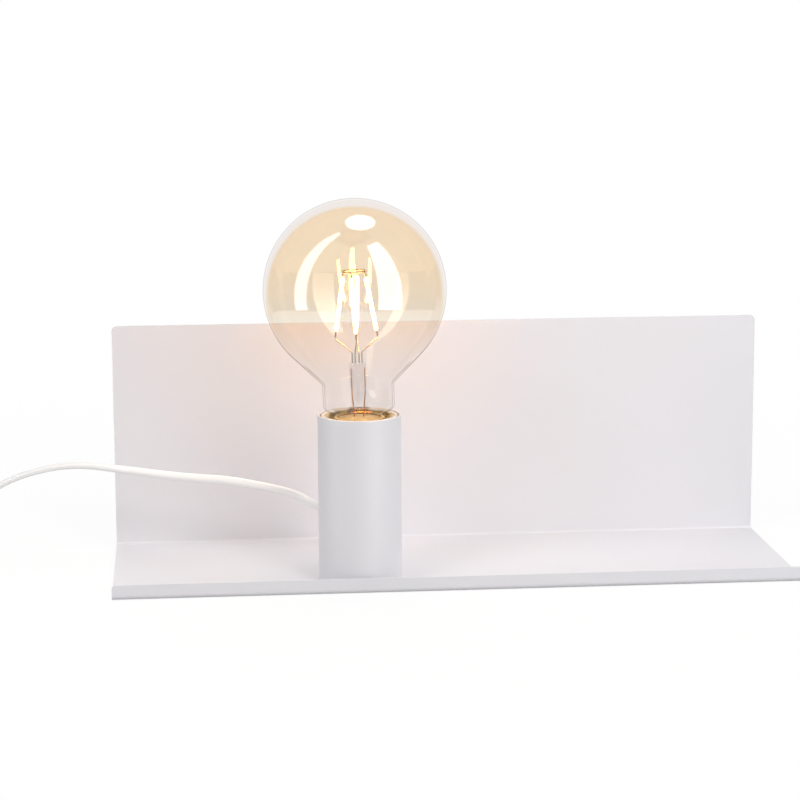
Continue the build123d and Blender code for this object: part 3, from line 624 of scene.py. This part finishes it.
def lead_lean(point):
    """The flex stands upright at the tube and in the coil, and lies flat where it leaves the view."""
    for (x0, a0), (x1, a1) in zip(LEAD_TURNS, LEAD_TURNS[1:]):
        if x1 <= point.x <= x0:
            share = (point.x - x0) / (x1 - x0)
            share = share * share * (3 - 2 * share)
            return a0 + (a1 - a0) * share
    return 0.0


# The photograph's view: yaw, pitch and roll in radians, place, and focal length in pixels of its frame
CAMERA_TURNS = 0.09207, 0.17471, 0.00462
CAMERA_PLACE = (-0.14352, -1.33604, 0.23105)
FOCAL_PIXELS, FRAME_PIXELS = 2424.19, 800.0
SENSOR_MM = 36.0


class LAMP_OT_camera(bpy.types.Operator):
    """Sets up the camera at the photograph's view"""

    bl_idname = "lamp.camera"
    bl_label = "Camera"

    def execute(self, context):
        yaw, pitch, roll = CAMERA_TURNS
        ahead = Vector((math.sin(yaw) * math.cos(pitch), math.cos(yaw) * math.cos(pitch), -math.sin(pitch)))
        right = Vector((math.cos(yaw), -math.sin(yaw), 0.0))
        down = ahead.cross(right)
        across = right * math.cos(roll) + down * math.sin(roll)
        below = down * math.cos(roll) - right * math.sin(roll)
        data = bpy.data.cameras.new("view_camera")
        data.sensor_width = SENSOR_MM
        data.lens = FOCAL_PIXELS / FRAME_PIXELS * SENSOR_MM
        data.clip_start = 0.05
        camera = bpy.data.objects.new("view_camera", data)
        turn = Matrix((across, -below, -ahead)).transposed().to_4x4()
        camera.matrix_world = Matrix.Translation(CAMERA_PLACE) @ turn
        context.scene.collection.objects.link(camera)
        context.scene.camera = camera
        return {"FINISHED"}


class LAMP_OT_flex(bpy.types.Operator):
    """Makes the flat flex: the lead with its coil, and the tail from switch to plug"""

    bl_idname = "lamp.flex"
    bl_label = "Flex"

    def execute(self, context):
        sizes, colours = context.scene.lamp_sizes, context.scene.lamp_colours
        sheath = moulded("flex_sheath", colours.flex, 0.34, 500.0, 0.03)
        line = spline_points("lead_line", LEAD_ROUTE + coil_route() + LINK_ROUTE)
        verts, faces = flex_mesh(line, sizes.flex_width, sizes.flex_thickness, lead_lean)
        lead = mesh_piece("flex_lead", verts, faces, sheath, BODY)
        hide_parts("cord_stub", "cord_lead", "cord_coil", "cord_link")
        line = spline_points("tail_line", TAIL_ROUTE)
        verts, faces = flex_mesh(line, sizes.flex_width, sizes.flex_thickness, lambda point: 0.0)
        tail = mesh_piece("flex_tail", verts, faces, sheath, BODY)
        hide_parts("cord_tail")
        return {"FINISHED"}


# Bulb glass: length of its foot, slope and rounding of its shoulder, and how finely it is turned
FOOT_LENGTH = 0.003
SHOULDER_SLOPE = 0.6
CORNER_RADIUS = 0.003
CORNER_STEPS = 10
ARC_STEPS = 72
GLOBE_SIDES = 144
# Heights above the neck's upper end between which the clear glass turns amber
AMBER_HEIGHTS = 0.002, 0.060


class LAMP_OT_globe(bpy.types.Operator):
    """Blows the bulb glass: an amber globe on a clear neck"""

    bl_idname = "lamp.globe"
    bl_label = "Globe"

    def wall(self, sizes, inset):
        """Profile of the glass from its foot to its top, set in by inset."""
        ball = sizes.globe_radius - inset
        neck = sizes.neck_radius - inset
        foot = sizes.foot_radius - inset
        slant = ball / math.sqrt(2)
        shoulder = GLASS_FOOT + FOOT_LENGTH + (sizes.neck_radius - sizes.foot_radius) * SHOULDER_SLOPE
        line = rounded(
            [
                (foot, GLASS_FOOT),
                (foot, GLASS_FOOT + FOOT_LENGTH),
                (neck, shoulder),
                (neck, GLOBE_Z - (math.sqrt(2) * ball - neck)),
                (slant, GLOBE_Z - slant),
            ],
            [0.0, CORNER_RADIUS - inset, CORNER_RADIUS + inset],
            CORNER_STEPS,
        )
        for k in range(1, ARC_STEPS + 1):
            turn = math.radians(-45 + 135 * k / ARC_STEPS)
            reach = ball * math.cos(turn) if k < ARC_STEPS else 0.0
            line.append(Vector((reach, GLOBE_Z + ball * math.sin(turn))))
        return line

    def execute(self, context):
        sizes, colours = context.scene.lamp_sizes, context.scene.lamp_colours
        profile = self.wall(sizes, 0.0) + self.wall(sizes, sizes.glass_wall)[::-1]
        verts, faces = lathe(profile, GLOBE_SIDES, closed=True)
        verts = [LEAN @ Vector(v) for v in verts]
        joint = GLOBE_Z - math.sqrt(2) * sizes.globe_radius + sizes.neck_radius
        turns_amber = [joint + rise for rise in AMBER_HEIGHTS]
        finish = amber_glass("amber_glass", tuple(colours.tint), sizes.globe_radius, *turns_amber)
        globe = mesh_piece("globe_glass", verts, faces, finish, BULB)
        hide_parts("bulb_glass")
        return {"FINISHED"}


# Brass dish in the holder's rim: its clearance and drop in the skirt, its two bends below the rim,
# depth, wall, hole and sides
DISH_INSET = 0.0017
DISH_DROP = 0.0010
OUTER_BEND = 0.0006, 0.0015
INNER_BEND = 0.0010, 0.0013
DISH_DEPTH = 0.0070
DISH_WALL = 0.00025
DISH_HOLE = 0.0137
DISH_SIDES = 96
# Filling of the bulb's cap: its drop and inset in the cap, thickness, crown and sides
FILL_DROP = 0.0004
FILL_INSET = 0.0019
FILL_DEPTH = 0.0030
FILL_CROWN = 0.0002
FILL_SIDES = 72
POLISHED_BRASS = (0.86, 0.62, 0.28)


class LAMP_OT_liner(bpy.types.Operator):
    """Spins the thin brass dish inside the holder's rim and the filling of the bulb's cap"""

    bl_idname = "lamp.liner"
    bl_label = "Liner"

    def execute(self, context):
        skirt_low, skirt_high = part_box("holder_skirt")
        cap_low, cap_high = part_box("bulb_cap")
        bore = (skirt_high[0] - skirt_low[0]) / 2 - DISH_INSET
        top = skirt_high[2] - DISH_DROP
        deep = top - DISH_DEPTH
        outer, inner = ((bore - inset, top - drop) for inset, drop in (OUTER_BEND, INNER_BEND))
        profile = [
            (DISH_HOLE, deep), outer, (bore, top), (bore - DISH_WALL, top), inner, (DISH_HOLE, deep + DISH_WALL)
        ]
        verts, faces = lathe([Vector(p) for p in profile], DISH_SIDES, closed=True)
        mesh_piece("holder_liner", verts, faces, metal("liner_brass", POLISHED_BRASS, 0.24), BODY)
        level = cap_high[2] - FILL_DROP
        inside = (cap_high[0] - cap_low[0]) / 2 - FILL_INSET
        profile = [
            (0.0, level - FILL_DEPTH), (inside, level - FILL_DEPTH), (inside, level), (0.0, level + FILL_CROWN)
        ]
        verts, faces = lathe([Vector(p) for p in profile], FILL_SIDES, closed=False)
        resin = moulded("cap_filling", (0.78, 0.55, 0.26), 0.5)
        mesh_piece("cap_filling", verts, faces, resin, BULB)
        return {"FINISHED"}


# Bars of the bulb: points along one, sides, and the width left at its tips
BAR_POINTS = 49
BAR_SIDES = 16
BAR_TIP = 0.12


def swept_lines(name, lines, radius, taper, material):
    """Round bars of the bulb along straight lines, made by Geometry Nodes and turned into a plain mesh."""
    tree = bpy.data.node_groups.new(name + "_bars", "GeometryNodeTree")
    face = tree.interface
    face.new_socket("Geometry", in_out="INPUT", socket_type="NodeSocketGeometry")
    sizes = {
        title: face.new_socket(title, in_out="INPUT", socket_type="NodeSocketFloat").identifier
        for title in ("Radius", "Taper")
    }
    face.new_socket("Geometry", in_out="OUTPUT", socket_type="NodeSocketGeometry")

    def node(kind, settings=None, links=None):
        made = tree.nodes.new(kind)
        for key, value in (settings or {}).items():
            setattr(made, key, value)
        for key, value in (links or {}).items():
            if isinstance(value, bpy.types.NodeSocket):
                tree.links.new(value, made.inputs[key])
            else:
                made.inputs[key].default_value = value
        return made

    def maths(operation, first, second):
        return node("ShaderNodeMath", {"operation": operation}, {0: first, 1: second}).outputs[0]

    given = node("NodeGroupInput")
    curve = node("GeometryNodeMeshToCurve", links={"Mesh": given.outputs["Geometry"]})
    even = node("GeometryNodeResampleCurve", links={"Curve": curve.outputs[0], "Count": BAR_POINTS})
    along = node("GeometryNodeSplineParameter").outputs["Factor"]
    near = maths("MINIMUM", along, maths("SUBTRACT", 1.0, along))
    near = maths("MINIMUM", maths("DIVIDE", near, given.outputs["Taper"]), 1.0)
    width = maths("MAXIMUM", maths("POWER", near, 0.5), BAR_TIP)
    shaped = node("GeometryNodeSetCurveRadius", links={"Curve": even.outputs[0], "Radius": width})
    ring = node(
        "GeometryNodeCurvePrimitiveCircle", links={"Resolution": BAR_SIDES, "Radius": given.outputs["Radius"]}
    )
    scale = node("GeometryNodeInputNamedAttribute", {"data_type": "FLOAT"}, {"Name": "radius"})
    bar = node(
        "GeometryNodeCurveToMesh",
        links={
            "Curve": shaped.outputs[0],
            "Profile Curve": ring.outputs["Curve"],
            "Scale": scale.outputs[0],
            "Fill Caps": True,
        },
    )
    smooth = node("GeometryNodeSetShadeSmooth", links={"Geometry": bar.outputs[0]})
    solid = node("GeometryNodeRealizeInstances", links={"Geometry": smooth.outputs[0]})
    painted = node("GeometryNodeSetMaterial", links={"Geometry": solid.outputs[0], "Material": material})
    node("NodeGroupOutput", links={"Geometry": painted.outputs[0]})

    base = bpy.data.meshes.new(name + "_lines")
    points = [p for line in lines for p in line]
    base.from_pydata(points, [(2 * k, 2 * k + 1) for k in range(len(lines))], [])
    piece = bpy.data.objects.new(name, base)
    bpy.context.scene.collection.objects.link(piece)
    bars = piece.modifiers.new("bars", "NODES")
    bars.node_group = tree
    bars[sizes["Radius"]] = radius
    bars[sizes["Taper"]] = taper
    bpy.context.view_layer.update()
    shape = bpy.data.meshes.new_from_object(piece.evaluated_get(bpy.context.evaluated_depsgraph_get()))
    piece.modifiers.remove(bars)
    piece.data = shape
    shape.name = name
    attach(piece, BULB)
    return piece


# Glowing sticks: degrees of the first one's foot and of the twist, and of foot and head the distance
# from the axis and the height from the globe's centre
STICK_COUNT = 4
STICK_TURN, STICK_TWIST = -95.5, -13.0
STICK_FOOT = 0.0105, -0.0215
STICK_HEAD = 0.006, 0.0072
STICK_TAPER = 0.05
PIN_FOOT, PIN_HEAD = 0.0032, 0.002
PIN_RADIUS = 0.00045
WIRE_TAPER = 0.01
# Copper leads in the stem: distances from the axis and heights above the glass foot
LEAD_RADIUS = 0.0003
STEM_LEADS = (
    [(-0.0033, 0.0285), (-0.0033, 0.0150), (-0.0024, 0.0025)],
    [(0.0036, 0.0285), (0.0037, 0.0170), (0.0022, 0.0025)],
)


class LAMP_OT_sticks(bpy.types.Operator):
    """Makes the glowing sticks and the bare pins at their ends"""

    bl_idname = "lamp.sticks"
    bl_label = "Glowing sticks"

    def execute(self, context):
        sizes, colours = context.scene.lamp_sizes, context.scene.lamp_colours
        sticks, pins = [], []
        for k in range(STICK_COUNT):
            low_turn = math.radians(STICK_TURN + 90.0 * k)
            high_turn = low_turn + math.radians(STICK_TWIST)
            low, high = (
                LEAN @ Vector((AXIS_X + reach * math.cos(turn), AXIS_Y + reach * math.sin(turn), GLOBE_Z + rise))
                for turn, (reach, rise) in ((low_turn, STICK_FOOT), (high_turn, STICK_HEAD))
            )
            way = (high - low).normalized()
            sticks.append((low, high))
            pins.append((low - way * PIN_FOOT, high + way * PIN_HEAD))
        leads = []
        for line in STEM_LEADS:
            points = [LEAN @ Vector((AXIS_X + side, AXIS_Y, GLASS_FOOT + rise)) for side, rise in line]
            leads += list(zip(points, points[1:]))
        glow = glowing("stick_glow", tuple(colours.glow), colours.glow_strength)
        lit = swept_lines("glow_sticks", sticks, sizes.stick_radius, STICK_TAPER, glow)
        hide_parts("filament_1", "filament_2", "filament_3", "filament_4")
        steel = metal("pin_wire", (0.42, 0.36, 0.34), 0.3)
        swept_lines("stick_pins", pins, PIN_RADIUS, WIRE_TAPER, steel)
        copper = metal("lead_copper", (0.70, 0.36, 0.18), 0.3)
        swept_lines("stem_leads", leads, LEAD_RADIUS, WIRE_TAPER, copper)
        return {"FINISHED"}


class LAMP_OT_finishes(bpy.types.Operator):
    """Gives every kept CAD piece its finish"""

    bl_idname = "lamp.finishes"
    bl_label = "Finishes"

    def execute(self, context):
        colours = context.scene.lamp_colours
        finishes = {
            "white_coat": powder_coat("white_coat", tuple(colours.coat)),
            "holder_plastic": moulded("holder_plastic", (0.82, 0.82, 0.80), 0.38),
            "cord_plastic": moulded("gland_plastic", tuple(colours.flex), 0.40),
            "fitting_plastic": moulded("fitting_plastic", (0.82, 0.82, 0.81), 0.28),
            "rocker_plastic": moulded("rocker_plastic", (0.84, 0.84, 0.84), 0.18, 900.0, 0.02),
            "zinc_steel": metal("zinc_steel", (0.62, 0.63, 0.65), 0.34),
            "brass": metal("brass", (0.80, 0.58, 0.25), 0.26),
            "nickel": metal("nickel", (0.74, 0.71, 0.65), 0.20),
            "black_plastic": moulded("black_plastic", (0.02, 0.02, 0.02), 0.40),
            "bumper_rubber": moulded("bumper_rubber", (0.20, 0.20, 0.20), 0.70, 400.0, 0.12),
            "lead_blue": moulded("lead_blue", (0.03, 0.09, 0.40), 0.36),
            "lead_brown": moulded("lead_brown", (0.16, 0.07, 0.03), 0.36),
            "clear_glass": clear_glass("clear_glass"),
            "wire": metal("wire", (0.55, 0.52, 0.48), 0.30),
        }
        for subpart in frame["record"]["subparts"]:
            finish = finishes.get(subpart["material_slot"])
            if subpart["node"] == "bulb_cap":
                finish = metal("cap_brass", POLISHED_BRASS, 0.42)
            if finish is None:
                continue
            for place in NODES[subpart["node"]].material_slots:
                place.material = finish
        return {"FINISHED"}


# Soft boxes: name, setting of the power, degrees right of the camera and above level, distance, size
SOFT_BOXES = (
    ("left_box", "left_light", (-40.0, 40.0, 1.9), (0.5, 0.5)),
    ("low_box", "low_light", (-60.0, 8.0, 0.9), (0.5, 0.5)),
    ("right_box", "right_light", (36.0, 18.0, 1.9), (0.7, 1.0)),
    ("high_box", "high_light", (30.0, 42.0, 1.9), (0.5, 0.5)),
    ("side_box", "side_light", (80.0, 18.0, 1.9), (0.8, 1.6)),
    ("back_box", "back_light", (175.0, 80.0, 1.4), (1.0, 1.0)),
    ("rear_box", "rear_light", (190.0, 12.0, 1.6), (1.0, 0.5)),
)
# Bright cards: name, place as above, shift in the card's own plane, size, strength, corners
CARDS = (
    ("left_face", (-69.0, 0.0, 0.5), (0.012, 0.87, 0.0), (0.155, 2.04), 5.0, 4),
    ("right_face", (46.0, 0.0, 0.5), (-0.015, 0.40, 0.0), (0.27, 1.10), 5.6, 4),
    ("top_face", (155.6, 78.4, 0.92), (0.0, 0.0, 0.0), (0.39, 0.46), 8.0, 48),
)
# Past this many faces of glass the cards show faintly, less so towards their top
GLASS_FACES = 2.4, 2.6
FAINT = 0.30
FAINT_HEIGHTS = -0.15, 0.45
FAINT_FADE = 0.714
# Dark cloth: its grey, its distance, the half width and height of its opening in degrees, and its grid
FLAG_GREY = 0.10
FLAG_REACH = 3.0
FLAG_OPENING = 39.0, 46.0
FLAG_RAYS, FLAG_RINGS = 120, 10
# What mirrors lose of the white room
ROOM_LOSS = 0.1
# Floor: its middle under the lamp, half its side, and its greys to the eye, to light and to mirrors
FLOOR_MIDDLE = (-0.05, -0.07, FLOOR_Z)
FLOOR_HALF = 4
MATT_GREY, DULL_GREY, DARK_GREY = 0.97, 0.60, 0.04
# Share of plain white near the lamp, where the rest takes the shadow, and how far that goes
NEAR_WHITE = 0.85
SHADOW_REACH = 0.15, 0.75
# Distances at which mirrors see the floor turn dark, and the square of how fast the white behind widens
MIRROR_REACH = 0.49, 0.52
BEHIND_SPREAD = 0.62


def heading(level, tall):
    """Direction by its turn in the level plane and its rise, in radians."""
    return Vector((math.cos(level) * math.cos(tall), math.sin(level) * math.cos(tall), math.sin(tall)))


def camera_back():
    """Direction from the scene towards the camera."""
    return bpy.context.scene.camera.matrix_world.to_3x3().col[2]


class LAMP_OT_stage(bpy.types.Operator):
    """Sets up the pale floor, the soft boxes and the even room light"""

    bl_idname = "lamp.stage"
    bl_label = "Stage"

    def facing(self, turn, rise, reach):
        """Placement that faces the globe, from degrees right of the camera and above level."""
        back = camera_back()
        way = heading(math.atan2(back.y, back.x) + math.radians(turn), math.radians(rise))
        return Matrix.Translation(GLOBE + way * reach) @ way.to_track_quat("Z", "Y").to_matrix().to_4x4()

    def box_light(self, name, place, size, power):
        """A soft box that mirrors don't show."""
        data = bpy.data.lights.new(name, "AREA")
        data.shape = "RECTANGLE"
        data.size, data.size_y = size
        data.energy = power
        light = bpy.data.objects.new(name, data)
        light.matrix_world = place
        light.visible_glossy = False
        bpy.context.scene.collection.objects.link(light)

    def stage_mesh(self, name, verts, faces, material):
        """A mesh of the studio, which isn't part of the lamp."""
        mesh = bpy.data.meshes.new(name)
        mesh.from_pydata(verts, [], faces)
        mesh.materials.append(material)
        piece = bpy.data.objects.new(name, mesh)
        bpy.context.scene.collection.objects.link(piece)
        return piece

    def only_mirrored(self, piece):
        """Hides a piece of the studio from all but mirrors."""
        for ray in ("camera", "diffuse", "transmission", "volume_scatter", "shadow"):
            setattr(piece, "visible_" + ray, False)

    def card(self, name, place, size, glare, corners):
        """Bright card that only mirrors show, faint where they show it through several faces of glass."""
        half = math.sqrt(0.5) if corners == 4 else 0.5
        rim = []
        for k in range(corners):
            turn = 2 * math.pi * (k + 0.5) / corners
            rim.append(place @ Vector((math.cos(turn) * half * size[0], math.sin(turn) * half * size[1], 0.0)))
        f = new_finish(name)
        inside = f.ray("Transparent Depth").step(*GLASS_FACES)
        high = f.axis("Z").step(*(GLOBE.z + rise for rise in FAINT_HEIGHTS))
        dimmed = inside * (1 - FAINT_FADE * high)
        cloth = f.surface(f.mixed(dimmed, f.shining(1.0, glare), f.shining(1.0, FAINT * glare)))
        self.only_mirrored(self.stage_mesh(name, rim, [tuple(range(corners))], cloth))

    def flag(self):
        """Dark cloth overhead that only mirrors show, open towards the white background."""
        ahead = -camera_back()
        level = math.atan2(ahead.y, ahead.x)
        wide, tall = FLAG_OPENING
        verts, faces = [], []
        for k in range(FLAG_RAYS + 1):
            ray = math.pi * k / FLAG_RAYS
            across, up = math.cos(ray), math.sin(ray)
            inner = 1.0 / math.hypot(across / wide, up / tall)
            outer = min(180.0 / max(abs(across), 1e-6), 90.0 / max(up, 1e-6))
            for j in range(FLAG_RINGS + 1):
                far = inner + (outer - inner) * j / FLAG_RINGS
                way = heading(level - math.radians(across * far), math.radians(up * far))
                verts.append(Vector((GLOBE.x, GLOBE.y, FLOOR_Z)) + way * FLAG_REACH)
        for k in range(FLAG_RAYS):
            for j in range(FLAG_RINGS):
                here = k * (FLAG_RINGS + 1) + j
                there = here + FLAG_RINGS + 1
                faces.append((here, here + 1, there + 1, there))
        f = new_finish("flag_cloth")
        cloth = f.surface(f.shining(FLAG_GREY, 1.0))
        self.only_mirrored(self.stage_mesh("flag", verts, faces, cloth))

    def room(self, fill):
        """Even light, with a white background for the camera, mirrors and glass."""
        world = bpy.data.worlds.new("room")
        bpy.context.scene.world = world
        f = Finish(world)
        shown = f.looked_at()
        strength = shown - ROOM_LOSS * f.ray("Is Glossy Ray") + (1 - shown) * fill
        f.surface(f.add("ShaderNodeBackground", values={"Color": (1, 1, 1, 1), "Strength": strength}))

    def floor(self):
        """Floor that looks white round the lamp's shadow, is duller for light and dark for mirrors far off."""
        f = new_finish("floor_white")
        mid = f.vector("SUBTRACT", f.place(), FLOOR_MIDDLE, out="Vector")
        reach = f.vector("LENGTH", mid)
        white = f.looked_at() * (NEAR_WHITE + (1 - NEAR_WHITE) * reach.step(*SHADOW_REACH))
        shown = f.mixed(white, f.matt(MATT_GREY), f.shining(1.0, 1.0))
        lit = f.mixed(f.ray("Is Diffuse Ray"), shown, f.matt(DULL_GREY))
        behind = -camera_back()
        along = f.vector("DOT_PRODUCT", mid, (behind.x, behind.y, 0.0))
        aside = f.vector("DOT_PRODUCT", mid, (behind.y, -behind.x, 0.0))
        open_back = along.step(0.0, 0.02) * (1 - (aside * aside - BEHIND_SPREAD * along * along).step(-0.01, 0.01))
        edge = f.ray("Is Glossy Ray") * reach.step(*MIRROR_REACH) * (1 - open_back)
        finish = f.surface(f.mixed(edge, lit, f.matt(DARK_GREY)))
        corners = [
            (x * FLOOR_HALF, y * FLOOR_HALF, FLOOR_Z) for x, y in ((-1, -1), (1, -1), (1, 1), (-1, 1))
        ]
        self.stage_mesh("floor", corners, [(0, 1, 2, 3)], finish)

    def execute(self, context):
        settings = context.scene.lamp_stage
        for name, power, place, size in SOFT_BOXES:
            self.box_light(name, self.facing(*place), size, getattr(settings, power))
        for name, place, shift, size, glare, corners in CARDS:
            self.card(name, self.facing(*place) @ Matrix.Translation(shift), size, glare, corners)
        self.flag()
        self.room(settings.fill)
        self.floor()
        context.scene.view_settings.view_transform = "Standard"
        return {"FINISHED"}


class LAMP_PT_panel(bpy.types.Panel):
    """Lists the pieces and their sizes"""

    bl_idname = "LAMP_PT_panel"
    bl_label = "Shelf wall lamp"
    bl_space_type = "VIEW_3D"
    bl_region_type = "UI"
    bl_category = "Lamp"

    def draw(self, context):
        for operator in STEPS:
            self.layout.operator(operator.bl_idname)
        for group in (context.scene.lamp_sizes, context.scene.lamp_colours, context.scene.lamp_stage):
            for name in group.__annotations__:
                self.layout.prop(group, name)


STEPS = (
    LAMP_OT_camera,
    LAMP_OT_flex,
    LAMP_OT_globe,
    LAMP_OT_sticks,
    LAMP_OT_liner,
    LAMP_OT_finishes,
    LAMP_OT_stage,
)
CLASSES = (LampSizes, LampColours, LampStage, *STEPS, LAMP_PT_panel)


def register():
    for item in CLASSES:
        bpy.utils.register_class(item)
    bpy.types.Scene.lamp_sizes = bpy.props.PointerProperty(type=LampSizes)
    bpy.types.Scene.lamp_colours = bpy.props.PointerProperty(type=LampColours)
    bpy.types.Scene.lamp_stage = bpy.props.PointerProperty(type=LampStage)


def unregister():
    del bpy.types.Scene.lamp_stage
    del bpy.types.Scene.lamp_colours
    del bpy.types.Scene.lamp_sizes
    for item in reversed(CLASSES):
        bpy.utils.unregister_class(item)


def main():
    register()
    bpy.ops.lamp.camera()
    bpy.ops.lamp.flex()
    bpy.ops.lamp.globe()
    bpy.ops.lamp.sticks()
    bpy.ops.lamp.liner()
    bpy.ops.lamp.finishes()
    bpy.ops.lamp.stage()


if __name__ == "__main__":
    main()
